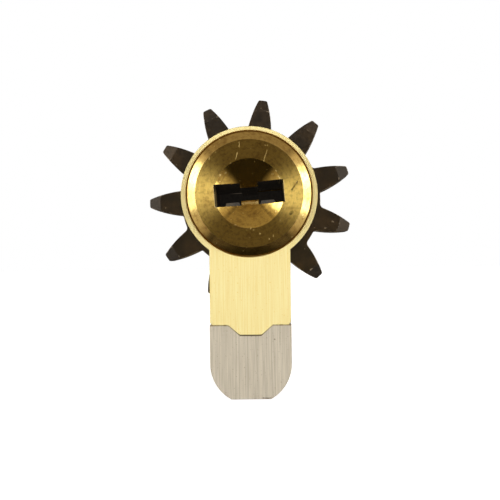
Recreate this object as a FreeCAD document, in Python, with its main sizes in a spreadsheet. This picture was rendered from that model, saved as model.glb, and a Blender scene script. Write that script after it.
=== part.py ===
import FreeCAD, Part
import math
import os
import Sketcher

# Double-entry lock cylinder with a gear cam, in millimetres.
# The origin is on the plug axis in the middle of the gear cam. The front end looks along -Y,
# X is across the body and +Z is up. Every front piece is drawn at the front (y < 0); a rear
# piece is the same drawing turned half a turn about the vertical.

SIZES = {
    "half_length": 35.0,        # middle of the cam to each end face
    "cam_window": 11.0,         # opening between the two brass halves
    "barrel_radius": 8.5,
    "barrel_drop": 0.12,        # plug axis to the centre of the barrel's outside
    "web_width": 10.05,
    "seam_drop": 16.35,         # plug axis to the joint between brass and steel
    "seam_round": 0.6,
    "seam_chamfer": 0.35,
    "tongue_depth": 1.24,
    "tongue_half_top": 2.75,
    "tongue_half_foot": 1.35,
    "tongue_gap": 0.05,
    "bar_width": 10.15,
    "bar_arc_drop": 21.1,       # plug axis to the centre of the rounded foot
    "bar_foot_drop": 25.54,     # plug axis to the flat under the bar
    "fixing_hole_radius": 2.1,  # tapping size for an M5 fixing screw
    "running_gap": 0.05,        # radial play of everything that turns or slides
    "fixed_gap": 0.02,          # radial play of pieces pressed or screwed in
    "plug_radius": 6.4,
    "head_radius": 7.7,
    "head_seat_radius": 7.88,
    "head_seat_depth": 2.05,
    "head_thickness": 2.0,
    "head_proud": 1.2,          # how far the head stands out of the end face
    "ring_radius": 6.71,        # inner edge of the bevel round the head
    "cone_radius": 4.33,
    "cone_foot_radius": 0.5,
    "cone_depth": 2.8,
    "plug_turn": 4.2,           # degrees the front plug is turned
    "keyway_half_width": 4.33,
    "keyway_half_height": 1.4,
    "neck_half_width": 1.08,
    "neck_half_height": 0.82,
    "spigot_radius": 5.55,      # inner end of each plug, inside the cam's ring
    "spigot_length": 1.2,
    "middle_gap": 0.15,         # middle of the cam to the end of each plug
    "clip_radius": 7.6,
    "clip_thickness": 0.7,
    "clip_mouth_half_width": 4.5,
    "clip_inset": 0.1,          # play between the clip and the brass
    "groove_depth": 0.8,
    "slot_half_height": 1.3,
    "slot_depth": 4.0,
    "row_spread": 2.24,         # plug axis to each row of pins
    "first_station": 7.5,       # end face to the first pair of pins
    "station_pitch": 3.6,
    "key_pin_radius": 1.2,
    "nose_radius": 0.825,
    "nose_drop": 0.775,         # plug axis to the top of each nose
    "shoulder_drop": 1.8,
    "key_pin_floor": 5.4,       # plug axis to the lowest place of a key pin's foot
    "pin_chamfer": 0.35,
    "driver_radius": 1.38,
    "chamber_radius": 1.45,
    "driver_top_drop": 6.42,
    "driver_length": 4.0,
    "stub_radius": 0.6,
    "stub_length": 0.8,
    "spring_radius": 1.05,
    "spring_wire": 0.17,
    "spring_floor_drop": 15.3,  # plug axis to the caps that close the pin chambers
    "cap_clearance": 0.05,      # play between the steel bar and what stands on it
    "spring_turns": 6.0,
    "tip_radius": 14.2,
    "root_radius": 9.7,
    "tip_half_width": 0.575,    # half the thickness of a tooth at its tip,
    "waist_half_width": 1.325,  # half way down its flank,
    "foot_half_width": 1.7,     # and at its foot
    "tip_round": 0.3,
    "root_round": 0.6,
    "gear_half_thickness": 4.5,
    "gear_face_radius": 12.7,   # where the bevel on the teeth begins
    "gear_bevel": 0.4,
    "gear_turn": 17.25,         # degrees from +X to the first tooth
    "ring_half_thickness": 1.2,
    "coupler_half_width": 6.3,
    "coupler_half_height": 1.25,
    "coupler_thickness": 2.0,
    "front_coupler_inset": 0.3,
    "rear_coupler_inset": 1.9,
    "coupler_nose_length": 0.9,
    "coupler_nose_half_width": 1.0,
    "coupler_nose_half_height": 0.7,
    "coupler_stub_radius": 0.75,
    "coupler_stub_length": 1.3,
    "coupler_spring_radius": 1.03,
    "coupler_spring_wire": 0.2,
    "coupler_spring_turns": 3.0,
    "screw_radius": 1.25,
    "screw_top_drop": 12.6,
    "screw_head_radius": 2.15,
    "screw_head_height": 2.2,
    "screw_recess_radius": 2.35,
    "screw_recess_depth": 2.4,
    "socket_radius": 1.15,
    "socket_depth": 1.3,
    "outer_screw_inset": 4.2,
    "inner_screw_inset": 26.5,
    "body_guard_radius": 1.0,
    "body_guard_spread": 2.6,
    "body_guard_inset": 2.0,
    "body_guard_top_drop": 9.2,
    "plug_guard_radius": 0.8,
    "plug_guard_spread": 2.4,
    "plug_guard_inset": 4.0,
    "plug_guard_low": 2.0,
    "plug_guard_high": 5.3,
}
TOOTH_COUNT = 11
GAP_FLARE = 1.2     # reach of the tooth gap's open end, as a multiple of the tip radius
STATION_COUNT = 5
# How far each pair of key pins can drop from the keyway, station by station from the end face.
FRONT_TRAVELS = (0.8, 0.4, 0.6, 0.3, 0.7)
REAR_TRAVELS = (0.5, 0.7, 0.3, 0.8, 0.4)

X_AXIS = FreeCAD.Vector(1, 0, 0)
Y_AXIS = FreeCAD.Vector(0, 1, 0)
Z_AXIS = FreeCAD.Vector(0, 0, 1)
UPWARD = FreeCAD.Rotation(Z_AXIS, 0)
REARWARD = FreeCAD.Rotation(X_AXIS, -90)
TOLERANCE = 1e-3    # two places nearer than this count as the same

doc = FreeCAD.newDocument("LockCylinder")
sheet = doc.addObject("Spreadsheet::Sheet", "Sizes")
nodes = []


def fill_sheet():
    """Write every driving dimension into the sheet, with its name as the alias."""
    for row, (name, size) in enumerate(SIZES.items(), start=1):
        sheet.set(f"A{row}", name)
        sheet.set(f"B{row}", str(size))
        sheet.setAlias(f"B{row}", name)
    doc.recompute()


def cell(text):
    """Turn a plain formula of size names into an expression that reads the sheet."""
    words = []
    for word in str(text).split():
        bare = word.lstrip("-(").rstrip(")")
        words.append(word.replace(bare, "Sizes." + bare) if bare in SIZES else word)
    return " ".join(words)


def value(text):
    """The number that a formula of size names comes to."""
    return float(sheet.evalExpression(cell(text)))


def bind(thing, **formulas):
    """Tie properties of an object to the sheet."""
    for name, formula in formulas.items():
        thing.setExpression(name, cell(formula))


def bind_spot(thing, spot):
    """Tie an object's position to three formulas."""
    for letter, formula in zip("xyz", spot):
        thing.setExpression(f".Placement.Base.{letter}", cell(formula))


def keep(label, thing, placement=None):
    """Name a finished piece and put it in its place."""
    thing.Label = label
    if placement is not None:
        thing.Placement = placement
    nodes.append(thing)


# ---------------------------------------------------------------- drawing helpers

def new_body(name):
    return doc.addObject("PartDesign::Body", name)


def new_sketch(body, name, role, height="0"):
    """A sketch on one of the body's own origin planes, moved along the plane's normal."""
    sketch = body.newObject("Sketcher::SketchObject", name)
    plane = next(f for f in body.Origin.OriginFeatures if f.Role == role)
    sketch.AttachmentSupport = [(plane, "")]
    sketch.MapMode = "FlatFace"
    sketch.setExpression(".AttachmentOffset.Base.z", cell(height))
    return sketch


def place_point(sketch, line, end, corner):
    """Hold one end of a line at a pair of formulas."""
    for kind, formula in zip(("DistanceX", "DistanceY"), corner):
        constraint = Sketcher.Constraint(kind, -1, 1, line, end, value(formula))
        index = sketch.addConstraint(constraint)
        sketch.setExpression(f"Constraints[{index}]", cell(formula))


def draw_polygon(sketch, corners):
    """A closed outline of straight lines through corners given as pairs of formulas."""
    spots = [FreeCAD.Vector(value(x), value(y), 0) for x, y in corners]
    count = len(spots)
    first = sketch.GeometryCount
    for k in range(count):
        sketch.addGeometry(Part.LineSegment(spots[k], spots[(k + 1) % count]))
    for k in range(count):
        after = first + (k + 1) % count
        sketch.addConstraint(Sketcher.Constraint("Coincident", first + k, 2, after, 1))
    for k in range(count):
        place_point(sketch, first + k, 1, corners[k])


def draw_circle(sketch, radius, x="0", y="0"):
    """A circle whose radius and centre are formulas."""
    centre = FreeCAD.Vector(value(x), value(y), 0)
    circle = sketch.addGeometry(Part.Circle(centre, FreeCAD.Vector(0, 0, 1), value(radius)))
    index = sketch.addConstraint(Sketcher.Constraint("Radius", circle, value(radius)))
    sketch.setExpression(f"Constraints[{index}]", cell(radius))
    place_point(sketch, circle, 3, (x, y))


def pad(body, sketch, length, reverse=False, both_ways=False):
    feature = body.newObject("PartDesign::Pad", sketch.Name + "Pad")
    feature.Profile = sketch
    feature.Reversed = reverse
    if both_ways:
        feature.SideType = "Symmetric"
    bind(feature, Length=length)
    return feature


def pocket(body, sketch, length, reverse=False, both_ways=False):
    feature = body.newObject("PartDesign::Pocket", sketch.Name + "Pocket")
    feature.Profile = sketch
    feature.Reversed = reverse
    if both_ways:
        feature.SideType = "Symmetric"
    bind(feature, Length=length)
    return feature


def spin(body, sketch):
    """Turn a half outline, drawn as radius against Y, into a solid of revolution."""
    feature = body.newObject("PartDesign::Revolution", sketch.Name + "Spin")
    feature.Profile = sketch
    feature.ReferenceAxis = (sketch, ["V_Axis"])
    feature.Angle = 360
    return feature


def edges_along_y(shape, fits):
    """Names of the straight edges along Y whose place (x, z) passes the test."""
    names = []
    for number, edge in enumerate(shape.Edges, start=1):
        start = edge.Vertexes[0].Point
        finish = edge.Vertexes[-1].Point
        along_y = math.hypot(start.x - finish.x, start.z - finish.z) < TOLERANCE
        if along_y and edge.Length > TOLERANCE and fits(start.x, start.z):
            names.append(f"Edge{number}")
    return names


def round_edges(body, feature, fits, radius):
    """Round the edges along Y that pass the test."""
    doc.recompute()
    fillet = body.newObject("PartDesign::Fillet", feature.Name + "Round")
    fillet.Base = (feature, edges_along_y(feature.Shape, fits))
    bind(fillet, Radius=radius)
    return fillet


def cylinder(name, radius, length, spot, direction=UPWARD):
    solid = doc.addObject("Part::Cylinder", name)
    solid.Placement.Rotation = direction
    bind(solid, Radius=radius, Height=length)
    bind_spot(solid, spot)
    return solid


def cone(name, low_radius, high_radius, length, spot):
    solid = doc.addObject("Part::Cone", name)
    bind(solid, Radius1=low_radius, Radius2=high_radius, Height=length)
    bind_spot(solid, spot)
    return solid


def box(name, sizes, spot):
    solid = doc.addObject("Part::Box", name)
    bind(solid, Length=sizes[0], Width=sizes[1], Height=sizes[2])
    bind_spot(solid, spot)
    return solid


def fuse(name, solids):
    joined = doc.addObject("Part::MultiFuse", name)
    joined.Shapes = solids
    return joined


def cut(name, base, tool):
    left = doc.addObject("Part::Cut", name)
    left.Base = base
    left.Tool = tool
    return left


def mirrored_pair(name, solid):
    """The solid and its mirror image across the vertical plane through the axis."""
    twin = doc.addObject("Part::Mirroring", name + "Twin")
    twin.Source = solid
    twin.Normal = X_AXIS
    pair = doc.addObject("Part::Compound", name)
    pair.Links = [solid, twin]
    return pair


def coil(name, radius, wire, turns, length, spot, direction=UPWARD):
    """A helical spring; length is taken between the outer faces of its end turns."""
    path = doc.addObject("Part::Helix", name + "Path")
    bind(path, Radius=radius, Height=f"{length} - 2 * {wire}")
    bind(path, Pitch=f"( {length} - 2 * {wire} ) / {turns}")
    section = doc.addObject("Part::Circle", name + "Wire")
    section.Placement.Rotation = FreeCAD.Rotation(X_AXIS, 90)
    bind(section, Radius=wire)
    bind_spot(section, (radius, "0", "0"))
    spring = doc.addObject("Part::Sweep", name)
    spring.Sections = [section]
    spring.Spine = (path, [])
    spring.Solid = True
    spring.Frenet = True
    spring.Placement.Rotation = direction
    bind_spot(spring, spot)
    return spring


# ---------------------------------------------------------------- places

FRONT = FreeCAD.Placement()
REAR = FreeCAD.Placement(FreeCAD.Vector(0, 0, 0), FreeCAD.Rotation(Z_AXIS, 180))


def turned(degrees):
    """Turned anticlockwise about the plug axis, as seen from the front."""
    return FreeCAD.Placement(FreeCAD.Vector(0, 0, 0), FreeCAD.Rotation(-Y_AXIS, degrees))


def station(index):
    """Where a pair of pins sits along the axis, counted from the end face."""
    return f"- half_length + first_station + {index} * station_pitch"


def screw_places():
    """Where the four screws sit along the axis, two under each brass half."""
    insets = ("outer_screw_inset", "inner_screw_inset")
    front = [f"- half_length + {inset}" for inset in insets]
    rear = [f"half_length - {inset}" for inset in insets]
    return front + rear


# ---------------------------------------------------------------- brass halves and steel bar

def is_seam_corner(x, z):
    """True at the tongue's corners, on the brass and on the steel."""
    low = -value("seam_drop + tongue_depth + tongue_gap") - TOLERANCE
    high = -value("seam_drop") + TOLERANCE
    return low <= z <= high and abs(x) <= value("tongue_half_top") + TOLERANCE


def brass_half(name, placement):
    """Barrel and web from one end face to the cam window, bored for the plug and the pins."""
    body = new_body(name)
    length = "half_length - cam_window / 2"
    barrel = new_sketch(body, name + "Barrel", "XZ_Plane", "half_length")
    draw_circle(barrel, "barrel_radius", "0", "- barrel_drop")
    pad(body, barrel, length, reverse=True)
    web = new_sketch(body, name + "Web", "XZ_Plane", "half_length")
    draw_polygon(web, [
        ("- web_width / 2", "0"),
        ("- web_width / 2", "- seam_drop + seam_chamfer"),
        ("- web_width / 2 + seam_chamfer", "- seam_drop"),
        ("- tongue_half_top", "- seam_drop"),
        ("- tongue_half_foot", "- seam_drop - tongue_depth"),
        ("tongue_half_foot", "- seam_drop - tongue_depth"),
        ("tongue_half_top", "- seam_drop"),
        ("web_width / 2 - seam_chamfer", "- seam_drop"),
        ("web_width / 2", "- seam_drop + seam_chamfer"),
        ("web_width / 2", "0"),
    ])
    solid = pad(body, web, length, reverse=True)
    round_edges(body, solid, is_seam_corner, "seam_round")
    bore = new_sketch(body, name + "Bore", "XZ_Plane", "half_length")
    draw_circle(bore, "plug_radius + running_gap")
    pocket(body, bore, length)
    seat = new_sketch(body, name + "Seat", "XZ_Plane", "half_length")
    draw_circle(seat, "head_seat_radius")
    pocket(body, seat, "head_seat_depth")
    chambers = new_sketch(body, name + "Chambers", "XY_Plane", "- bar_arc_drop")
    for index in range(STATION_COUNT):
        for side in ("- row_spread", "row_spread"):
            draw_circle(chambers, "chamber_radius", side, station(index))
    pocket(body, chambers, "bar_arc_drop", reverse=True)
    threads = new_sketch(body, name + "Threads", "XY_Plane", "- bar_arc_drop")
    for inset in ("outer_screw_inset", "inner_screw_inset"):
        draw_circle(threads, "screw_radius + fixed_gap", "0", f"- half_length + {inset}")
    pocket(body, threads, "bar_arc_drop - screw_top_drop + fixed_gap", reverse=True)
    guards = new_sketch(body, name + "Guards", "XY_Plane", "- bar_arc_drop")
    for side in ("- body_guard_spread", "body_guard_spread"):
        place = "- half_length + body_guard_inset"
        draw_circle(guards, "body_guard_radius + fixed_gap", side, place)
    body.Tip = pocket(body, guards, "bar_arc_drop - body_guard_top_drop", reverse=True)
    keep(name, body, placement)


def base_bar():
    """Steel bar under both halves, grooved on top, with a rounded foot and a cross hole."""
    body = new_body("base_bar")
    length = "2 * half_length"
    foot = new_sketch(body, "BarFoot", "XZ_Plane")
    draw_circle(foot, "bar_width / 2", "0", "- bar_arc_drop")
    pad(body, foot, length, both_ways=True)
    trim = new_sketch(body, "BarTrim", "XZ_Plane")
    for low, high in (("- bar_arc_drop", "0"), ("- 2 * bar_foot_drop", "- bar_foot_drop")):
        draw_polygon(trim, [
            ("- bar_width", low),
            ("bar_width", low),
            ("bar_width", high),
            ("- bar_width", high),
        ])
    pocket(body, trim, length, both_ways=True)
    block = new_sketch(body, "BarBlock", "XZ_Plane")
    draw_polygon(block, [
        ("- bar_width / 2", "- bar_arc_drop"),
        ("bar_width / 2", "- bar_arc_drop"),
        ("bar_width / 2", "- seam_drop"),
        ("tongue_half_top", "- seam_drop"),
        ("tongue_half_foot", "- seam_drop - tongue_depth - tongue_gap"),
        ("- tongue_half_foot", "- seam_drop - tongue_depth - tongue_gap"),
        ("- tongue_half_top", "- seam_drop"),
        ("- bar_width / 2", "- seam_drop"),
    ])
    solid = pad(body, block, length, both_ways=True)
    round_edges(body, solid, is_seam_corner, "seam_round")
    fixing = new_sketch(body, "BarFixing", "YZ_Plane")
    draw_circle(fixing, "fixing_hole_radius", "0", "- bar_arc_drop")
    pocket(body, fixing, "2 * bar_width", both_ways=True)
    holes = new_sketch(body, "BarHoles", "XY_Plane", "- bar_foot_drop")
    recesses = new_sketch(body, "BarRecesses", "XY_Plane", "- bar_foot_drop")
    for place in screw_places():
        draw_circle(holes, "screw_radius + fixed_gap", "0", place)
        draw_circle(recesses, "screw_recess_radius", "0", place)
    pocket(body, holes, "bar_width", reverse=True)
    body.Tip = pocket(body, recesses, "screw_recess_depth", reverse=True)
    keep("base_bar", body)


def base_screws():
    """Four socket screws that hold the bar to the two brass halves."""
    screws = []
    seat = "- bar_foot_drop + screw_recess_depth"
    for number, place in enumerate(screw_places(), start=1):
        name = f"Screw{number}"
        shank_length = "bar_foot_drop - screw_recess_depth - screw_top_drop"
        shank = cylinder(name + "Shank", "screw_radius", shank_length, ("0", place, seat))
        head_foot = ("0", place, f"{seat} - screw_head_height")
        head = cylinder(name + "Head", "screw_head_radius", "screw_head_height", head_foot)
        socket = doc.addObject("Part::Prism", name + "Socket")
        socket.Polygon = 6
        bind(socket, Circumradius="socket_radius", Height="socket_depth")
        bind_spot(socket, head_foot)
        screws.append(cut(name, fuse(name + "Blank", [shank, head]), socket))
    group = doc.addObject("Part::Compound", "BaseScrews")
    group.Links = screws
    keep("base_screws", group)


def body_guard_pins(name, placement):
    """Two hardened pins that stand in the web just behind the end face."""
    length = "seam_drop - cap_clearance - body_guard_top_drop"
    pin = cylinder(
        name + "Pin", "body_guard_radius", length,
        ("body_guard_spread", "- half_length + body_guard_inset", "- seam_drop + cap_clearance"))
    keep(name, mirrored_pair(name + "Pair", pin), placement)


def chamber_caps(name, placement):
    """Ten short caps pressed into the pin chambers from below, where the springs stand on them."""
    pairs = []
    for index in range(STATION_COUNT):
        cap = cylinder(
            f"{name}Cap{index + 1}", "chamber_radius - fixed_gap",
            "seam_drop - cap_clearance - spring_floor_drop",
            ("row_spread", station(index), "- seam_drop + cap_clearance"))
        pairs.append(mirrored_pair(f"{name}Pair{index + 1}", cap))
    group = doc.addObject("Part::Compound", name + "Caps")
    group.Links = pairs
    keep(name, group, placement)


# ---------------------------------------------------------------- plugs

def plug_blank(name):
    """The turned plug: bevelled head with a conical recess, clip groove and inner spigot."""
    body = new_body(name + "Blank")
    front = "- half_length - head_proud"
    back = "- half_length + head_seat_depth - running_gap"
    groove = "- cam_window / 2 + clip_inset"
    profile = new_sketch(body, name + "Profile", "XY_Plane")
    draw_polygon(profile, [
        ("0", f"{front} + cone_depth"),
        ("cone_foot_radius", f"{front} + cone_depth"),
        ("cone_radius", front),
        ("ring_radius", front),
        ("head_radius", f"{front} + head_radius - ring_radius"),
        ("head_radius", back),
        ("plug_radius", back),
        ("plug_radius", f"{groove} - fixed_gap"),
        ("plug_radius - groove_depth", f"{groove} - fixed_gap"),
        ("plug_radius - groove_depth", f"{groove} + clip_thickness + fixed_gap"),
        ("plug_radius", f"{groove} + clip_thickness + fixed_gap"),
        ("plug_radius", "- middle_gap - spigot_length"),
        ("spigot_radius", "- middle_gap - spigot_length"),
        ("spigot_radius", "- middle_gap"),
        ("0", "- middle_gap"),
    ])
    spin(body, profile)
    keyway = new_sketch(body, name + "Keyway", "XZ_Plane", "half_length + head_proud")
    draw_polygon(keyway, [
        ("- keyway_half_width", "- keyway_half_height"),
        ("- neck_half_width", "- keyway_half_height"),
        ("- neck_half_width", "- neck_half_height"),
        ("neck_half_width", "- neck_half_height"),
        ("neck_half_width", "- keyway_half_height"),
        ("keyway_half_width", "- keyway_half_height"),
        ("keyway_half_width", "keyway_half_height"),
        ("neck_half_width", "keyway_half_height"),
        ("neck_half_width", "neck_half_height"),
        ("- neck_half_width", "neck_half_height"),
        ("- neck_half_width", "keyway_half_height"),
        ("- keyway_half_width", "keyway_half_height"),
    ])
    pocket(body, keyway, "half_length + head_proud")
    slot = new_sketch(body, name + "Slot", "XZ_Plane")
    draw_polygon(slot, [
        ("- head_radius", "- slot_half_height"),
        ("head_radius", "- slot_half_height"),
        ("head_radius", "slot_half_height"),
        ("- head_radius", "slot_half_height"),
    ])
    body.Tip = pocket(body, slot, "slot_depth", reverse=True)
    return body


def plug(name, placement):
    """The plug with its pin chambers, which narrow to a seat at the keyway, and guard holes."""
    tools = []
    for index in range(STATION_COUNT):
        for side, spread in (("Left", "- row_spread"), ("Right", "row_spread")):
            hole = f"{name}Chamber{index + 1}{side}"
            tools.append(cylinder(
                hole, "key_pin_radius + running_gap", "plug_radius - shoulder_drop",
                (spread, station(index), "- plug_radius")))
            tools.append(cone(
                hole + "Seat", "key_pin_radius + running_gap", "nose_radius + running_gap",
                "shoulder_drop - nose_drop", (spread, station(index), "- shoulder_drop")))
    for side, spread in (("Left", "- plug_guard_spread"), ("Right", "plug_guard_spread")):
        tools.append(cylinder(
            f"{name}Guard{side}", "plug_guard_radius + fixed_gap", "plug_radius - plug_guard_low",
            (spread, "- half_length + plug_guard_inset", "plug_guard_low")))
    keep(name, cut(name + "Drilled", plug_blank(name), fuse(name + "Tools", tools)), placement)


def plug_guard_pins(name, placement):
    """Two hardened pins above the keyway, just behind the plug's head."""
    pin = cylinder(
        name + "Pin", "plug_guard_radius", "plug_guard_high - plug_guard_low",
        ("plug_guard_spread", "- half_length + plug_guard_inset", "plug_guard_low"))
    keep(name, mirrored_pair(name + "Pair", pin), placement)


def clip(name, placement):
    """Open spring clip in the plug's groove, which keeps the plug from coming out."""
    foot = ("0", "- cam_window / 2 + clip_inset", "0")
    outside = cylinder(name + "Outside", "clip_radius", "clip_thickness", foot, REARWARD)
    inside_radius = "plug_radius - groove_depth + fixed_gap"
    inside = cylinder(name + "Inside", inside_radius, "clip_thickness", foot, REARWARD)
    mouth = box(
        name + "Mouth", ("2 * clip_mouth_half_width", "clip_thickness", "clip_radius"),
        ("- clip_mouth_half_width", foot[1], "0"))
    keep(name, cut(name + "Open", cut(name + "Ring", outside, inside), mouth), placement)


# ---------------------------------------------------------------- pins and springs

def key_pins(name, index, travel, placement):
    """A pair of key pins, left and right row, held up so that their noses show in the keyway."""
    place = station(index)
    foot = f"- key_pin_floor + {travel}"
    chamfer = cone(
        name + "Chamfer", "key_pin_radius - pin_chamfer", "key_pin_radius", "pin_chamfer",
        ("row_spread", place, foot))
    shank = cylinder(
        name + "Shank", "key_pin_radius", f"key_pin_floor - shoulder_drop - pin_chamfer - {travel}",
        ("row_spread", place, f"{foot} + pin_chamfer"))
    nose = cone(
        name + "Nose", "key_pin_radius", "nose_radius", "shoulder_drop - nose_drop",
        ("row_spread", place, "- shoulder_drop"))
    keep(name, mirrored_pair(name + "Pair", fuse(name + "One", [chamfer, shank, nose])), placement)


def driver_pins(name, index, placement):
    """A pair of driver pins just under the plug, each with a stub inside its spring."""
    place = station(index)
    foot = "- driver_top_drop - driver_length"
    stub = cylinder(
        name + "Stub", "stub_radius", "stub_length", ("row_spread", place, f"{foot} - stub_length"))
    shank = cylinder(
        name + "Shank", "driver_radius", "driver_length - pin_chamfer", ("row_spread", place, foot))
    chamfer = cone(
        name + "Chamfer", "driver_radius", "driver_radius - pin_chamfer", "pin_chamfer",
        ("row_spread", place, "- driver_top_drop - pin_chamfer"))
    keep(name, mirrored_pair(name + "Pair", fuse(name + "One", [stub, shank, chamfer])), placement)


def pin_springs(name, index, placement):
    """A pair of coil springs between the chamber caps and the driver pins."""
    length = "( spring_floor_drop - driver_top_drop - driver_length - fixed_gap )"
    spring = coil(
        name + "Coil", "spring_radius", "spring_wire", "spring_turns", length,
        ("row_spread", station(index), "- spring_floor_drop + spring_wire"))
    keep(name, mirrored_pair(name + "Pair", spring), placement)


# ---------------------------------------------------------------- gear cam and clutch

def flank_point(radius, half_width, side):
    """A point of a tooth's flank, measured from the middle of the gap beside the tooth."""
    angle = side * (math.pi / TOOTH_COUNT - math.asin(half_width / radius))
    return FreeCAD.Vector(radius * math.cos(angle), radius * math.sin(angle), 0)


def draw_tooth_gap(sketch):
    """The gap between two teeth: two hollow flank arcs, the root arc and an open outer end."""
    tip = value("tip_radius")
    root = value("root_radius")
    rows = (
        (tip, value("tip_half_width")),
        ((tip + root) / 2, value("waist_half_width")),
        (root, value("foot_half_width")),
    )
    right = [flank_point(radius, half_width, 1) for radius, half_width in rows]
    left = [flank_point(radius, half_width, -1) for radius, half_width in rows]
    outer_right = FreeCAD.Vector(tip * GAP_FLARE, right[0].y * GAP_FLARE, 0)
    outer_left = FreeCAD.Vector(tip * GAP_FLARE, left[0].y * GAP_FLARE, 0)
    curves = [
        Part.Arc(*right),
        Part.Arc(right[2], FreeCAD.Vector(root, 0, 0), left[2]),
        Part.Arc(*reversed(left)),
        Part.LineSegment(left[0], outer_left),
        Part.LineSegment(outer_left, outer_right),
        Part.LineSegment(outer_right, right[0]),
    ]
    for curve in curves:
        sketch.addGeometry(curve)


def gear_cam():
    """Eleven-tooth gear that turns on both plugs, with an inner ring notched for the couplers."""
    body = new_body("GearCam")
    profile = new_sketch(body, "GearProfile", "XY_Plane")
    rim = "plug_radius + running_gap"
    ring = "spigot_radius + running_gap"
    draw_polygon(profile, [
        (rim, "- gear_half_thickness"),
        ("gear_face_radius", "- gear_half_thickness"),
        ("tip_radius", "- gear_half_thickness + gear_bevel"),
        ("tip_radius", "gear_half_thickness - gear_bevel"),
        ("gear_face_radius", "gear_half_thickness"),
        (rim, "gear_half_thickness"),
        (rim, "ring_half_thickness"),
        (ring, "ring_half_thickness"),
        (ring, "- ring_half_thickness"),
        (rim, "- ring_half_thickness"),
    ])
    spin(body, profile)
    gap = new_sketch(body, "GearGap", "XZ_Plane")
    draw_tooth_gap(gap)
    space = pocket(body, gap, "3 * gear_half_thickness", both_ways=True)
    doc.recompute()
    pattern = body.newObject("PartDesign::PolarPattern", "GearTeeth")
    pattern.Originals = [space]
    pattern.Axis = (gap, ["N_Axis"])
    pattern.Angle = 360
    pattern.Occurrences = TOOTH_COUNT
    body.Tip = pattern
    tip = value("tip_radius")
    root = value("root_radius")
    tips = round_edges(
        body, pattern, lambda x, z: abs(math.hypot(x, z) - tip) < TOLERANCE, "tip_round")
    body.Tip = tips
    feet = round_edges(
        body, tips, lambda x, z: abs(math.hypot(x, z) - root) < TOLERANCE, "root_round")
    body.Tip = feet
    gear_angle = value("gear_turn") + 180 / TOOTH_COUNT
    notch = box(
        "GearNotch",
        ("2 * ( plug_radius + running_gap )", "2 * ring_half_thickness",
         "2 * ( slot_half_height + running_gap )"),
        ("- plug_radius - running_gap", "- ring_half_thickness", "- slot_half_height - running_gap"))
    notches = doc.addObject("Part::Compound", "GearNotches")
    notches.Links = [notch]
    notches.Placement = turned(value("plug_turn") - gear_angle)
    keep("gear_cam", cut("GearNotched", body, notches), turned(gear_angle))


def coupler(name, inset, placement, with_stub):
    """Clutch blade that lies across the plug's slot, with a small nose that the key pushes."""
    front = f"- {inset} - coupler_thickness"
    bar = box(
        name + "Bar", ("2 * coupler_half_width", "coupler_thickness", "2 * coupler_half_height"),
        ("- coupler_half_width", front, "- coupler_half_height"))
    round_bar = cylinder(
        name + "Round", "coupler_half_width", "coupler_thickness", ("0", front, "0"), REARWARD)
    blade = doc.addObject("Part::MultiCommon", name + "Blade")
    blade.Shapes = [bar, round_bar]
    nose = box(
        name + "Nose",
        ("2 * coupler_nose_half_width", "coupler_nose_length", "2 * coupler_nose_half_height"),
        ("- coupler_nose_half_width", f"{front} - coupler_nose_length", "- coupler_nose_half_height"))
    pieces = [blade, nose]
    if with_stub:
        pieces.append(cylinder(
            name + "Stub", "coupler_stub_radius", "coupler_stub_length",
            ("0", f"- {inset}", "0"), REARWARD))
    keep(name, fuse(name + "Whole", pieces), placement)


def coupler_spring():
    """Small coil spring round the front coupler's stub, up to the rear coupler."""
    spring = coil(
        "CouplerSpring", "coupler_spring_radius", "coupler_spring_wire", "coupler_spring_turns",
        "( front_coupler_inset + rear_coupler_inset )",
        ("0", "- front_coupler_inset + coupler_spring_wire", "0"), REARWARD)
    group = doc.addObject("Part::Compound", "CouplerSpringGroup")
    group.Links = [spring]
    keep("coupler_spring", group, turned(value("plug_turn")))


# ---------------------------------------------------------------- build, check and write

def build():
    fill_sheet()
    plug_place = turned(value("plug_turn"))
    for side, placement, plug_placement, travels in (
            ("front", FRONT, plug_place, FRONT_TRAVELS), ("rear", REAR, REAR, REAR_TRAVELS)):
        brass_half(side + "_body", placement)
        body_guard_pins(side + "_body_guard_pins", placement)
        chamber_caps(side + "_chamber_caps", placement)
        plug(side + "_plug", plug_placement)
        plug_guard_pins(side + "_plug_guard_pins", plug_placement)
        clip(side + "_clip", plug_placement)
        for index, travel in enumerate(travels):
            number = index + 1
            key_pins(f"{side}_key_pins_{number}", index, travel, plug_placement)
            driver_pins(f"{side}_driver_pins_{number}", index, placement)
            pin_springs(f"{side}_springs_{number}", index, placement)
    base_bar()
    base_screws()
    gear_cam()
    coupler("front_coupler", "front_coupler_inset", plug_place, with_stub=True)
    coupler("rear_coupler", "rear_coupler_inset", REAR, with_stub=False)
    coupler_spring()
    doc.recompute()


def check():
    """Stop before writing anything if any object failed."""
    for thing in doc.Objects:
        if "Invalid" in thing.State or "Error" in thing.State:
            raise RuntimeError(f"{thing.Label} failed: {thing.State}")
    for thing in nodes:
        if thing.Shape.isNull() or not thing.Shape.isValid():
            raise RuntimeError(f"{thing.Label} has no valid shape")


def write():
    os.makedirs("parts", exist_ok=True)
    for thing in nodes:
        thing.Shape.exportStep(f"parts/{thing.Label}.step")


build()
check()
write()
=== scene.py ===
import bpy
import math
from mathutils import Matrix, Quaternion, Vector


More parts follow.
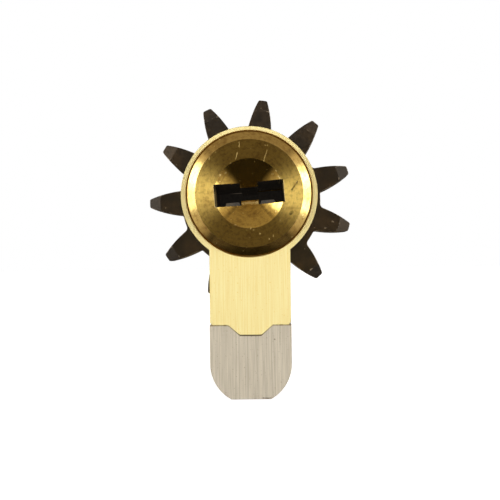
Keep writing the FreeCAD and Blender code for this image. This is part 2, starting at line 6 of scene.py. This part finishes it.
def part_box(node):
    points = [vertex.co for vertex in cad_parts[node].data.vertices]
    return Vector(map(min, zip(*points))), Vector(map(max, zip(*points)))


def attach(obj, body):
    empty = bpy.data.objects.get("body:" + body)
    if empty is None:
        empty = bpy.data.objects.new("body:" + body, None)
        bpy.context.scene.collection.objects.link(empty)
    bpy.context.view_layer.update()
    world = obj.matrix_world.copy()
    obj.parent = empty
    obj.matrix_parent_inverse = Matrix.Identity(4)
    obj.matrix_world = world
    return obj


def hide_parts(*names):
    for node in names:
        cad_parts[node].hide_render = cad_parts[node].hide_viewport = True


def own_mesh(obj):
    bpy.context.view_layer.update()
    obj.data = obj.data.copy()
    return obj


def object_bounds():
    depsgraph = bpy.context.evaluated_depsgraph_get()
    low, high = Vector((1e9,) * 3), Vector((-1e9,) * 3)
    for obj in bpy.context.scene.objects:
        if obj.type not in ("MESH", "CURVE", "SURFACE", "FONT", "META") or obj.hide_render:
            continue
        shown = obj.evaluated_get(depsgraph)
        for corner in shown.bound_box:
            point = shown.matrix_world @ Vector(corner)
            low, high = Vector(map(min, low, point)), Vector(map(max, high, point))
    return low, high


# Looks for the lock cylinder with a gear cam. Metres; X right, Y away from the camera, Z up.
# The plug axis is the Y axis and the front end face looks along -Y.

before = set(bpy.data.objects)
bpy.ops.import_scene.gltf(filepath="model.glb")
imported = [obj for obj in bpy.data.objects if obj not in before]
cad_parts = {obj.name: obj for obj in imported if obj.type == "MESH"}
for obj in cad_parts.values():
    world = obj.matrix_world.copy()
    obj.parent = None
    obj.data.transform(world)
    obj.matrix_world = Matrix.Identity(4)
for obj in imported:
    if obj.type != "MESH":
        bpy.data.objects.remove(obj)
CAD_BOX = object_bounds()

MM = 0.001
FACE_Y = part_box("front_body")[0][1]
FOOT_Z = CAD_BOX[0][2]

CAMERA_DISTANCE = 237 * MM
CAMERA_X = 2.05 * MM
CAMERA_Z = -8.24 * MM
AIM_X = 0.025 * MM
AIM_Z = -7.01 * MM
CAMERA_ROLL = -0.6          # degrees
LENS_MM = 137.5

# Brightness of what the metal mirrors: tall soft boxes on both sides, a dim warm ceiling,
# a floor that is dark in front, and a dim room in front of and behind the object.
BOX_LIGHT = 5.0
CEILING_LIGHT = 0.33
ROOM_LIGHT = 0.09
BOX_LIFT = 0.105            # the boxes' middle above the horizon, as a slope
BOX_TILT = 0.055            # the left box stands higher than the right one, as a slope
BOX_SQUEEZE = 1.3           # how much sooner the boxes end below their middle than above it
FRONT_FLOOR_LIGHT = 0.02
FLOOR_LIGHT = 0.30
SIDE_DIM = 0.20             # how much of the boxes' light is left exactly sideways
VALLEY_SLOPE = 1.05         # slope of the dark valley between the boxes and the ceiling
VALLEY_LIGHT = 0.35         # how much of the light around it is left in that valley
CORE_SLOPES = (0.26, 0.62)  # where the boxes' brightness starts to fall and where it ends
SKIRT_SLOPES = (0.45, 1.90)  # the same for the faint glow around the boxes
SKIRT_LIGHT = 0.15          # that glow against the boxes' own brightness
BOX_SIDES = (0.48, 0.92)    # how far sideways the boxes begin and are at full brightness
BOX_FADE = (0.965, 0.995)   # where they dim again towards exactly sideways
FLOOR_SPAN = 6.0            # metres
FLOOR_GREY = (0.45, 0.45, 0.45, 1)
FLOOR_GLOW = 0.82           # the floor's own light, which keeps it pale under the dim surroundings
WARM = (1.0, 0.80, 0.60, 1)
WHITE = (1.0, 1.0, 1.0, 1)

PALE_BRASS = (0.88, 0.765, 0.375, 1)
STRAW_BRASS = (0.80, 0.60, 0.20, 1)
DRAWN_BRASS = (0.52, 0.39, 0.14, 1)
GOLD_BRASS = (0.90, 0.64, 0.16, 1)
BEVEL_HIGHLIGHT_BRASS = (0.86, 0.635, 0.21, 1)
BROWN_BRASS = (0.42, 0.25, 0.06, 1)
DULL_BRASS = (0.20, 0.13, 0.05, 1)
WARM_STEEL = (0.615, 0.55, 0.435, 1)
GREY_STEEL = (0.38, 0.33, 0.25, 1)
DARK_STEEL = (0.078, 0.066, 0.053, 1)
RUSTY_STEEL = (0.125, 0.094, 0.063, 1)
WORN_STEEL = (0.50, 0.42, 0.32, 1)
BRIGHT_STEEL = (0.55, 0.53, 0.50, 1)
NICKEL = (0.90, 0.84, 0.74, 1)
GLINT = (1.0, 0.80, 0.36, 1)
CLUTCH_STEEL = (0.30, 0.26, 0.22, 1)
BLACK_OXIDE = (0.05, 0.05, 0.05, 1)
GREASE = (0.06, 0.035, 0.012, 1)

EDGE_DARKENING = 0.35            # how much the body's edges are darkened
GEAR_RIDGE = 12.7 * MM      # where the bevel on the gear's teeth begins
GAP_RADIUS = 7.80 * MM      # between the plug's head and the body
GAP_GLOW = 0.5              # stands for light bounced to and fro inside that gap
GAP_SHADE_HALF = 0.20 * MM   # how far the painted shade spreads to each side of that gap
SEAM_DROP = 16.35 * MM      # from the plug's axis down to the joint of brass and steel
TONGUE_DEPTH = 1.24 * MM    # how much lower that joint is under the tongue
TONGUE_HALF_TOP = 2.75 * MM
TONGUE_HALF_FOOT = 1.35 * MM
SEAM_REACH = 0.13 * MM      # how far dirt spreads from the joint
RECESS_RADIUS = 4.6 * MM    # of the conical recess around the keyway
HEAD_BEVEL_RADIUS = 6.6 * MM  # where the bevel on the plug's head begins
HEAD_WALL_RADIUS = 7.4 * MM   # the head's round wall is outside this
GROOVE_DENSITY = 7000.0     # turning marks across a metre of radius
SCUFF_GLOW = 0.2            # stands for the sparkle of scuffs and nicks
FRONT_ZONE_Y = -25 * MM     # marks are only drawn in front of this

SHAKE = 0.35 * MM           # how far marks wander from a straight stroke
# Marks as (start x, start z, end x, end z, half width) in mm on the front end.
DARK_SCRATCHES = (
    (5.96, 1.33, 5.27, 0.37, 0.11),
    (5.20, -2.45, 5.05, -2.58, 0.22),
)
# Nicks and scuffs worn into the brass, painted lighter and given a faint glow as painted glints.
GLINTING_NICKS = (
    (-4.50, 0.95, -4.20, -1.70, 0.08),
    (4.28, 1.55, 4.50, -1.00, 0.06),
    (-0.75, -1.20, 0.95, -1.12, 0.20),
    (-1.59, 4.35, -1.45, 4.95, 0.06),
    (-1.18, 5.80, -1.16, 6.35, 0.05),
    (2.25, 5.32, 1.84, 3.94, 0.045),
    (-4.89, 4.25, -4.87, 4.50, 0.05),
    (-3.60, 2.23, -3.50, 2.33, 0.08),
    (3.33, 2.78, 3.40, 2.72, 0.08),
    (3.62, 2.05, 3.80, 1.80, 0.09),
    (-1.78, -3.90, -1.68, -3.86, 0.06),
    (0.11, -4.45, 0.15, -4.20, 0.05),
    (2.94, -5.40, 2.92, -5.15, 0.05),
)
BAR_PITS = (
    (3.02, -18.12, 3.03, -18.13, 0.11),
    (1.45, -25.42, 2.45, -25.30, 0.06),
)


# ------------------------------------------------------------------ shader helpers

class Graph:
    """A node tree under construction: adds nodes and links them."""

    def __init__(self, tree):
        self.tree = tree

    def feed(self, socket, source):
        if isinstance(source, bpy.types.NodeSocket):
            self.tree.links.new(source, socket)
        else:
            socket.default_value = source

    def add(self, kind, **inputs):
        made = self.tree.nodes.new(kind)
        for name, source in inputs.items():
            self.feed(made.inputs[name.replace("_", " ")], source)
        return made

    def math(self, operation, *sources):
        made = self.add("ShaderNodeMath")
        made.operation = operation
        for socket, source in zip(made.inputs, sources):
            self.feed(socket, source)
        return made.outputs[0]

    def vector(self, operation, *sources):
        made = self.add("ShaderNodeVectorMath")
        made.operation = operation
        for socket, source in zip(made.inputs, sources):
            self.feed(socket, source)
        scalar = operation in ("LENGTH", "DOT_PRODUCT")
        return made.outputs["Value" if scalar else "Vector"]

    def split(self, vector):
        return list(self.add("ShaderNodeSeparateXYZ", Vector=vector).outputs)

    def join(self, x, y, z):
        return self.add("ShaderNodeCombineXYZ", X=x, Y=y, Z=z).outputs["Vector"]

    def ramp(self, value, low, high, low_out=0.0, high_out=1.0):
        """Smooth step between two values, held outside them."""
        made = self.add(
            "ShaderNodeMapRange", Value=value,
            From_Min=low, From_Max=high, To_Min=low_out, To_Max=high_out)
        made.interpolation_type = "SMOOTHSTEP"
        return made.outputs["Result"]

    def mix(self, amount, first, second):
        """Blend of two colours."""
        made = self.add("ShaderNodeMix")
        made.data_type = "RGBA"
        self.feed(made.inputs[0], amount)
        self.feed(made.inputs[6], first)
        self.feed(made.inputs[7], second)
        return made.outputs[2]


class Material(Graph):
    """A Principled material under construction, placed by the piece's own coordinates."""

    def __init__(self, name):
        self.material = bpy.data.materials.new(name)
        self.material.use_nodes = True
        super().__init__(self.material.node_tree)
        self.bsdf = self.tree.nodes["Principled BSDF"]
        self.place = self.add("ShaderNodeTexCoord").outputs["Object"]
        self.x, self.y, self.z = self.split(self.place)

    def normal(self):
        return self.add("ShaderNodeNewGeometry").outputs["Normal"]

    def noise(self, vector, scale, detail=3.0):
        return self.add("ShaderNodeTexNoise", Vector=vector, Scale=scale, Detail=detail).outputs["Fac"]

    def grain(self, side, stretch, scale, detail):
        """Noise stretched upright where side is 0 and lengthwise where side is 1."""
        along = self.math("MULTIPLY", self.y, self.math("MULTIPLY", side, stretch))
        upright = self.math("MULTIPLY", self.z, self.math("ADD", side, stretch))
        return self.noise(self.join(self.x, along, upright), scale, detail)

    def bump(self, height, distance, strength=1.0, round_edge=0.0):
        made = self.add("ShaderNodeBump", Height=height, Distance=distance, Strength=strength)
        if round_edge:
            self.feed(made.inputs["Normal"], self.rounded(round_edge))
        return made.outputs[0]

    def rounded(self, radius):
        """The normal as if every edge had this radius."""
        made = self.add("ShaderNodeBevel", Radius=radius)
        made.samples = 6
        return made.outputs[0]

    def edge(self, radius):
        """0 on flat surfaces, rising towards an edge."""
        sameness = self.vector("DOT_PRODUCT", self.rounded(radius), self.normal())
        return self.ramp(sameness, 0.90, 0.995, 1.0, 0.0)

    def marks(self, marks):
        """1 inside any of the short strokes drawn on the front end."""
        shake = self.vector("MULTIPLY", self.add(
            "ShaderNodeTexNoise", Vector=self.place, Scale=1100.0).outputs["Color"], (SHAKE, 0.0, SHAKE))
        flat = self.vector("ADD", self.join(self.x, 0.0, self.z), shake)
        flat = self.vector("SUBTRACT", flat, (SHAKE / 2, 0.0, SHAKE / 2))
        total = 0.0
        for start_x, start_z, end_x, end_z, half_width in marks:
            start = Vector((start_x, 0, start_z)) * MM
            along = Vector((end_x, 0, end_z)) * MM - start
            offset = self.vector("SUBTRACT", flat, tuple(start))
            share = self.math("DIVIDE", self.vector("DOT_PRODUCT", offset, tuple(along)),
                              along.length_squared)
            share = self.math("MINIMUM", self.math("MAXIMUM", share, 0.0), 1.0)
            reach = self.vector("MULTIPLY", tuple(along), self.join(share, share, share))
            distance = self.vector("LENGTH", self.vector("SUBTRACT", offset, reach))
            inside = self.ramp(distance, half_width * MM * 0.5, half_width * MM * 1.4, 1.0, 0.0)
            total = self.math("MAXIMUM", total, inside)
        broken = self.ramp(self.noise(self.place, 2500, 2.0), 0.38, 0.50, 0.55, 1.0)
        front = self.ramp(self.y, FRONT_ZONE_Y, FRONT_ZONE_Y + MM, 1.0, 0.0)
        return self.math("MULTIPLY", total, self.math("MULTIPLY", broken, front))

    def finish(self, **inputs):
        for name, source in inputs.items():
            self.feed(self.bsdf.inputs[name.replace("_", " ")], source)
        return self.material


# ------------------------------------------------------------------ materials

def seam_distance(s):
    """Height above the joint between brass and steel, which dips under the tongue."""
    half = s.math("ABSOLUTE", s.x)
    dip = s.add("ShaderNodeMapRange", Value=half, From_Min=TONGUE_HALF_FOOT,
                From_Max=TONGUE_HALF_TOP, To_Min=TONGUE_DEPTH, To_Max=0.0).outputs["Result"]
    return s.math("ADD", s.math("ADD", s.z, SEAM_DROP), dip)


def seam_dirt(s):
    """Broken dark line beside the joint, strongest under the tongue."""
    near = s.ramp(s.math("ABSOLUTE", seam_distance(s)), 0.3 * SEAM_REACH, SEAM_REACH, 1.0, 0.0)
    half = s.math("ABSOLUTE", s.x)
    tongue = s.ramp(half, 1.3 * MM, 1.7 * MM, 1.0, 0.0)
    shoulder = s.ramp(half, 2.4 * MM, 2.9 * MM)
    dashes = s.ramp(s.noise(s.join(s.x, 0.0, 0.0), 1500, 1.0), 0.40, 0.60, 0.35, 0.9)
    broken = s.math("MULTIPLY", shoulder, dashes)
    return s.math("MULTIPLY", near, s.math("MAXIMUM", s.math("MAXIMUM", tongue, broken), 0.25))


def gap_shade(s):
    """Painted shade: a brown band on both sides of the gap around the plug's head."""
    radius = s.vector("LENGTH", s.join(s.x, 0.0, s.z))
    off = s.math("ABSOLUTE", s.math("SUBTRACT", radius, GAP_RADIUS))
    return s.math("MULTIPLY", s.ramp(off, GAP_SHADE_HALF / 2, GAP_SHADE_HALF, 1.0, 0.0), 0.75)


def grained_metal(name, light, dark, side_colour, roughness, grain, pits, marks):
    """Metal with fine lines: upright on the milled end faces, lengthwise on the drawn sides."""
    s = Material(name)
    end = s.ramp(s.math("ABSOLUTE", s.split(s.normal())[1]), 0.6, 0.8)
    lengthwise = s.vector("CROSS_PRODUCT", s.normal(), (0.0, 1.0, 0.0))
    tangent = s.mix(end, lengthwise, (1.0, 0.0, 0.0, 1.0))
    side = s.math("SUBTRACT", 1.0, end)
    fine = s.grain(side, 0.032, 6500, 1.0)
    long = s.grain(side, 0.006, 4600, 2.0)
    broad = s.grain(side, 0.3, 500, 3.0)
    lines = s.math("ADD", s.math("MULTIPLY", fine, 0.50), s.math("MULTIPLY", long, 0.35))
    lines = s.math("ADD", lines, s.math("MULTIPLY", broad, 0.15))
    streaks = s.ramp(lines, 0.36, 0.64, grain, 0.0)
    specks = s.ramp(s.noise(s.place, 4200, 2.0), 0.62, 0.74, 0.0, pits)
    base = s.mix(s.math("ADD", streaks, specks), light, dark)
    base = s.mix(s.math("MULTIPLY", seam_dirt(s), 0.85), base, DULL_BRASS)
    base = s.mix(s.math("MULTIPLY", side, 0.85), base, side_colour)
    # The body's edges are painted darker.
    base = s.mix(s.math("MULTIPLY", s.edge(0.12 * MM), EDGE_DARKENING), base, DULL_BRASS)
    if marks:
        base = s.mix(s.math("MULTIPLY", s.marks(marks), 0.75), base, GREASE)
    # Painted shade beside the gap around the plug's head.
    base = s.mix(gap_shade(s), base, BROWN_BRASS)
    even = s.ramp(lines, 0.3, 0.7, roughness - 0.03, roughness + 0.04)
    return s.finish(
        Base_Color=base, Metallic=1.0, Anisotropic=s.ramp(end, 0.0, 1.0, 0.3, 1.0), Tangent=tangent,
        Roughness=s.math("ADD", s.math("MULTIPLY", side, 0.06), even),
        Normal=s.bump(fine, 0.0015 * MM, 0.5, round_edge=0.06 * MM))


def turned_brass(name, dark_marks, glinting_marks):
    """Plug brass, turned on a lathe: circular lines; inside the keyway dull and greasy, and painted darker
    as shade.
    """
    s = Material(name)
    flat = s.join(s.x, 0.0, s.z)
    radius = s.vector("LENGTH", flat)
    spoke = s.vector("NORMALIZE", flat)
    spoke_x, _, spoke_z = s.split(spoke)
    turning = s.join(s.math("MULTIPLY", radius, GROOVE_DENSITY), s.math("MULTIPLY", spoke_x, 1.6),
                     s.math("MULTIPLY", spoke_z, 1.6))
    grooves = s.noise(turning, 1.0, 3.0)
    cloud = s.noise(s.place, 700, 5.0)
    patches = s.noise(s.place, 230, 3.0)
    mottle = s.ramp(s.noise(s.place, 2400, 3.0), 0.46, 0.64, 0.0, 0.34)
    tarnish = s.math("ADD", s.ramp(cloud, 0.50, 0.72, 0.0, 0.35), s.ramp(patches, 0.52, 0.70, 0.0, 0.18))
    tarnish = s.math("ADD", s.math("ADD", tarnish, mottle), s.ramp(grooves, 0.35, 0.65, 0.18, 0.0))
    # The head's bevel is painted a paler brass so that its highlights come out whiter: a painted
    # highlight.
    clean = s.mix(s.ramp(radius, HEAD_BEVEL_RADIUS, HEAD_BEVEL_RADIUS + 0.2 * MM), GOLD_BRASS, BEVEL_HIGHLIGHT_BRASS)
    base = s.mix(tarnish, clean, BROWN_BRASS)
    # Scuffs and nicks: worn brass, painted a pale gold and given a faint glow as painted glints.
    scuffs_and_glints = s.ramp(s.noise(s.place, 2300, 1.0), 0.73, 0.77, 0.0, 0.45)
    if glinting_marks:
        scuffs_and_glints = s.math("MAXIMUM", scuffs_and_glints, s.math("MULTIPLY", s.marks(glinting_marks), 0.6))
        base = s.mix(s.math("MULTIPLY", s.marks(dark_marks), 0.8), base, GREASE)
    base = s.mix(scuffs_and_glints, base, GLINT)
    facing = s.math("ABSOLUTE", s.split(s.normal())[1])
    sideways = s.ramp(facing, 0.3, 0.5, 1.0, 0.0)
    in_keyway = s.ramp(radius, RECESS_RADIUS, RECESS_RADIUS + 0.1 * MM, 1.0, 0.0)
    # Darker brass on the keyway's walls: grease, and painted shade deep inside the keyway.
    keyway_grease_and_shade = s.math("MULTIPLY", sideways, in_keyway)
    base = s.mix(keyway_grease_and_shade, base, DULL_BRASS)
    uneven = s.ramp(s.noise(s.place, 1500, 3.0), 0.52, 0.60, 0.0, 0.8)
    rubbed = s.math("MULTIPLY", s.edge(0.15 * MM), uneven)
    base = s.mix(rubbed, base, GLINT)
    # Painted shade beside the gap around the plug's head.
    base = s.mix(gap_shade(s), base, BROWN_BRASS)
    world_x, _, world_z = s.split(s.add("ShaderNodeNewGeometry").outputs["Position"])
    tangent = s.vector("NORMALIZE", s.join(world_x, 0.0, world_z))
    level = s.ramp(facing, 0.93, 0.98)
    rough = s.math("ADD", s.ramp(cloud, 0.3, 0.7, 0.33, 0.40), s.math("MULTIPLY", keyway_grease_and_shade, 0.2))
    rough = s.math("ADD", rough, s.math("MULTIPLY", level, 0.07))
    polish = s.ramp(radius, RECESS_RADIUS, RECESS_RADIUS + 0.4 * MM, 0.45, 0.6)
    slope = s.ramp(facing, 0.85, 0.95, polish, 1.0)
    rough = s.math("ADD", s.math("MULTIPLY", rough, slope), s.math("MULTIPLY", scuffs_and_glints, 0.4))
    # Painted light: the head's round wall glows brown in place of light bounced inside the gap.
    head_wall = s.math("MULTIPLY", sideways, s.ramp(radius, HEAD_WALL_RADIUS, HEAD_WALL_RADIUS + 0.1 * MM))
    glow = s.math("ADD", s.math("MULTIPLY", head_wall, GAP_GLOW), s.math("MULTIPLY", scuffs_and_glints, SCUFF_GLOW))
    return s.finish(
        Base_Color=base, Metallic=1.0, Roughness=rough, Tangent=tangent,
        Anisotropic=s.math("SUBTRACT", s.ramp(level, 0.0, 1.0, 1.0, 0.9), scuffs_and_glints),
        Normal=s.bump(grooves, 0.001 * MM, 0.5, round_edge=0.05 * MM),
        Emission_Color=s.mix(scuffs_and_glints, BROWN_BRASS, GLINT), Emission_Strength=glow)


def phosphated_steel():
    """Dark oiled gear steel, rubbed bright in places along its edges."""
    s = Material("phosphated_steel")
    cloud = s.noise(s.place, 420, 5.0)
    fine = s.noise(s.place, 2600, 3.0)
    base = s.mix(s.ramp(cloud, 0.40, 0.70), DARK_STEEL, RUSTY_STEEL)
    radius = s.vector("LENGTH", s.join(s.x, 0.0, s.z))
    off = s.math("ABSOLUTE", s.math("SUBTRACT", radius, GEAR_RIDGE))
    face = s.ramp(s.math("ABSOLUTE", s.split(s.normal())[1]), 0.6, 0.8)
    ridge = s.math("MULTIPLY", s.ramp(off, 0.05 * MM, 0.14 * MM, 1.0, 0.0), face)
    rubbed = s.noise(s.place, 900, 4.0)
    edges = s.math("MULTIPLY", s.edge(0.20 * MM), s.ramp(rubbed, 0.48, 0.60))
    worn = s.math("MAXIMUM", edges, s.math("MULTIPLY", ridge, s.ramp(rubbed, 0.53, 0.62)))
    chips = s.ramp(s.noise(s.place, 1700, 2.0), 0.72, 0.76, 0.0, 0.8)
    worn = s.math("MAXIMUM", worn, chips)
    base = s.mix(worn, base, WORN_STEEL)
    return s.finish(
        Base_Color=base, Metallic=s.ramp(worn, 0.0, 1.0, 0.9, 0.5),
        Roughness=s.ramp(fine, 0.3, 0.7, 0.42, 0.55),
        Normal=s.bump(fine, 0.010 * MM, 0.5, round_edge=0.12 * MM))


def plain_steel(name, colour, roughness, metallic=1.0, glow=0.0):
    """Small hard pieces: pins, clips, screws and wire; glow gives them a faint painted light of their own.
    """
    s = Material(name)
    fine = s.noise(s.place, 1800, 3.0)
    base = s.mix(s.ramp(fine, 0.4, 0.7, 0.0, 0.35), colour, GREASE)
    return s.finish(
        Base_Color=base, Metallic=metallic,
        Roughness=s.ramp(fine, 0.3, 0.7, roughness, roughness + 0.12),
        Normal=s.bump(fine, 0.002 * MM, 0.4), Emission_Color=colour, Emission_Strength=glow)


def paint(material, *words):
    """Give the material to every CAD node whose name holds one of the words."""
    for name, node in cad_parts.items():
        if any(word in name for word in words):
            node.data.materials.clear()
            node.data.materials.append(material)


def paint_all():
    """A later call repaints what an earlier one also caught, as with the pins and the coupler's spring."""
    # The couplers and key pins glow faintly: painted light that shows them inside the dark keyway.
    paint(plain_steel("clutch_steel", CLUTCH_STEEL, 0.5, 0.6, 0.02), "coupler")
    paint(plain_steel("ground_steel", BRIGHT_STEEL, 0.25), "pins", "clip", "coupler_spring")
    paint(plain_steel("nickel_silver", NICKEL, 0.45, 0.2, 0.06), "key_pins")
    paint(plain_steel("black_oxide", BLACK_OXIDE, 0.4), "screws")
    paint(grained_metal("pale_brass", PALE_BRASS, STRAW_BRASS, DRAWN_BRASS, 0.42, 0.48, 0.7, ()),
          "front_body", "rear_body", "caps")
    paint(grained_metal("warm_steel", WARM_STEEL, GREY_STEEL, GREY_STEEL, 0.42, 0.65, 0.8, BAR_PITS),
          "base_bar")
    paint(turned_brass("front_plug_brass", DARK_SCRATCHES, GLINTING_NICKS), "front_plug")
    paint(turned_brass("rear_plug_brass", (), ()), "rear_plug")
    paint(plain_steel("guard_steel", BRIGHT_STEEL, 0.3), "guard")
    paint(phosphated_steel(), "gear_cam")


# ------------------------------------------------------------------ springs

def shortening_springs():
    """Copies of the pin springs, attached to the housing's body, shown in place of the springs.

    Only the springs are picked: the driver pins ride on bodies of their own and keep their shape.
    """
    paint(plain_steel("spring_wire", BRIGHT_STEEL, 0.25), "springs")
    springs = {name: node for name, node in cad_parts.items() if "_springs_" in name}
    for name, node in springs.items():
        coils = bpy.data.objects.new(name + "_coils", node.data.copy())
        bpy.context.scene.collection.objects.link(coils)
        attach(coils, "housing")
        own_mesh(coils)
        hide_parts(name)


# ------------------------------------------------------------------ stage

def floor():
    """Pale floor that the foot stands on."""
    bpy.ops.mesh.primitive_plane_add(size=FLOOR_SPAN, location=(0, 0, FOOT_Z))
    plane = bpy.context.object
    plane.name = "floor"
    s = Material("pale_floor")
    plane.data.materials.append(s.finish(
        Base_Color=FLOOR_GREY, Roughness=1.0, Specular_IOR_Level=0.0,
        Emission_Color=WHITE, Emission_Strength=FLOOR_GLOW))
    plane.visible_glossy = False
    plane.visible_diffuse = False


def surroundings():
    """White behind the object for the camera; soft boxes, ceiling and dark floor in reflections."""
    world = bpy.data.worlds.new("surroundings")
    world.use_nodes = True
    bpy.context.scene.world = world
    world.node_tree.nodes.clear()
    g = Graph(world.node_tree)
    x, y, z = g.split(g.add("ShaderNodeTexCoord").outputs["Generated"])
    sideways = g.math("ABSOLUTE", x)
    height = g.math("ABSOLUTE", z)
    steepness = g.math("DIVIDE", height, g.math("MAXIMUM", sideways, 0.001))
    level = g.math("ADD", g.math("SUBTRACT", z, g.math("MULTIPLY", sideways, BOX_LIFT)),
                   g.math("MULTIPLY", x, BOX_TILT))
    reach = g.math("MAXIMUM", level, g.math("MULTIPLY", level, -BOX_SQUEEZE))
    spread = g.math("DIVIDE", reach, g.math("MAXIMUM", sideways, 0.001))
    core = g.ramp(spread, *CORE_SLOPES, 1.0, 0.0)
    skirt = g.ramp(spread, *SKIRT_SLOPES, SKIRT_LIGHT, 0.0)
    box = g.math("MULTIPLY", g.math("ADD", core, skirt), g.ramp(sideways, *BOX_SIDES))
    box = g.math("MULTIPLY", box, g.ramp(sideways, *BOX_FADE, 1.0, SIDE_DIM))
    floor_light = g.ramp(y, -0.02, 0.12, FRONT_FLOOR_LIGHT, FLOOR_LIGHT)
    low = g.ramp(z, -0.5, -0.05, floor_light, ROOM_LIGHT)
    high = g.ramp(z, 0.2, 0.7, 0.0, CEILING_LIGHT - ROOM_LIGHT)
    off_valley = g.math("ABSOLUTE", g.math("SUBTRACT", steepness, VALLEY_SLOPE))
    valley = g.ramp(off_valley, 0.05, 0.22, VALLEY_LIGHT, 1.0)
    ambient = g.math("MULTIPLY", g.math("ADD", low, high), valley)
    mirrored = g.mix(g.ramp(box, 0.0, 0.25), WARM, WHITE)
    strength = g.math("ADD", ambient, g.math("MULTIPLY", box, BOX_LIGHT))
    glow = g.add("ShaderNodeBackground", Color=mirrored, Strength=strength)
    white = g.add("ShaderNodeBackground", Color=WHITE, Strength=1.0)
    seen = g.add("ShaderNodeMixShader")
    g.feed(seen.inputs[0], g.add("ShaderNodeLightPath").outputs["Is Camera Ray"])
    g.feed(seen.inputs[1], glow.outputs[0])
    g.feed(seen.inputs[2], white.outputs[0])
    g.add("ShaderNodeOutputWorld", Surface=seen.outputs[0])


def camera():
    """The photograph's view: end on, slightly below and to the right of the plug axis."""
    lens = bpy.data.cameras.new("camera")
    lens.lens = LENS_MM
    lens.clip_start = 0.01
    made = bpy.data.objects.new("camera", lens)
    bpy.context.scene.collection.objects.link(made)
    made.location = (CAMERA_X, FACE_Y - CAMERA_DISTANCE, CAMERA_Z)
    sight = Vector((AIM_X, FACE_Y, AIM_Z)) - made.location
    roll = Quaternion((0, 0, 1), math.radians(CAMERA_ROLL))
    made.rotation_mode = "QUATERNION"
    made.rotation_quaternion = sight.to_track_quat("-Z", "Y") @ roll
    bpy.context.scene.camera = made


def main():
    bpy.context.scene.view_settings.view_transform = "Standard"
    paint_all()
    shortening_springs()
    floor()
    surroundings()
    camera()


main()
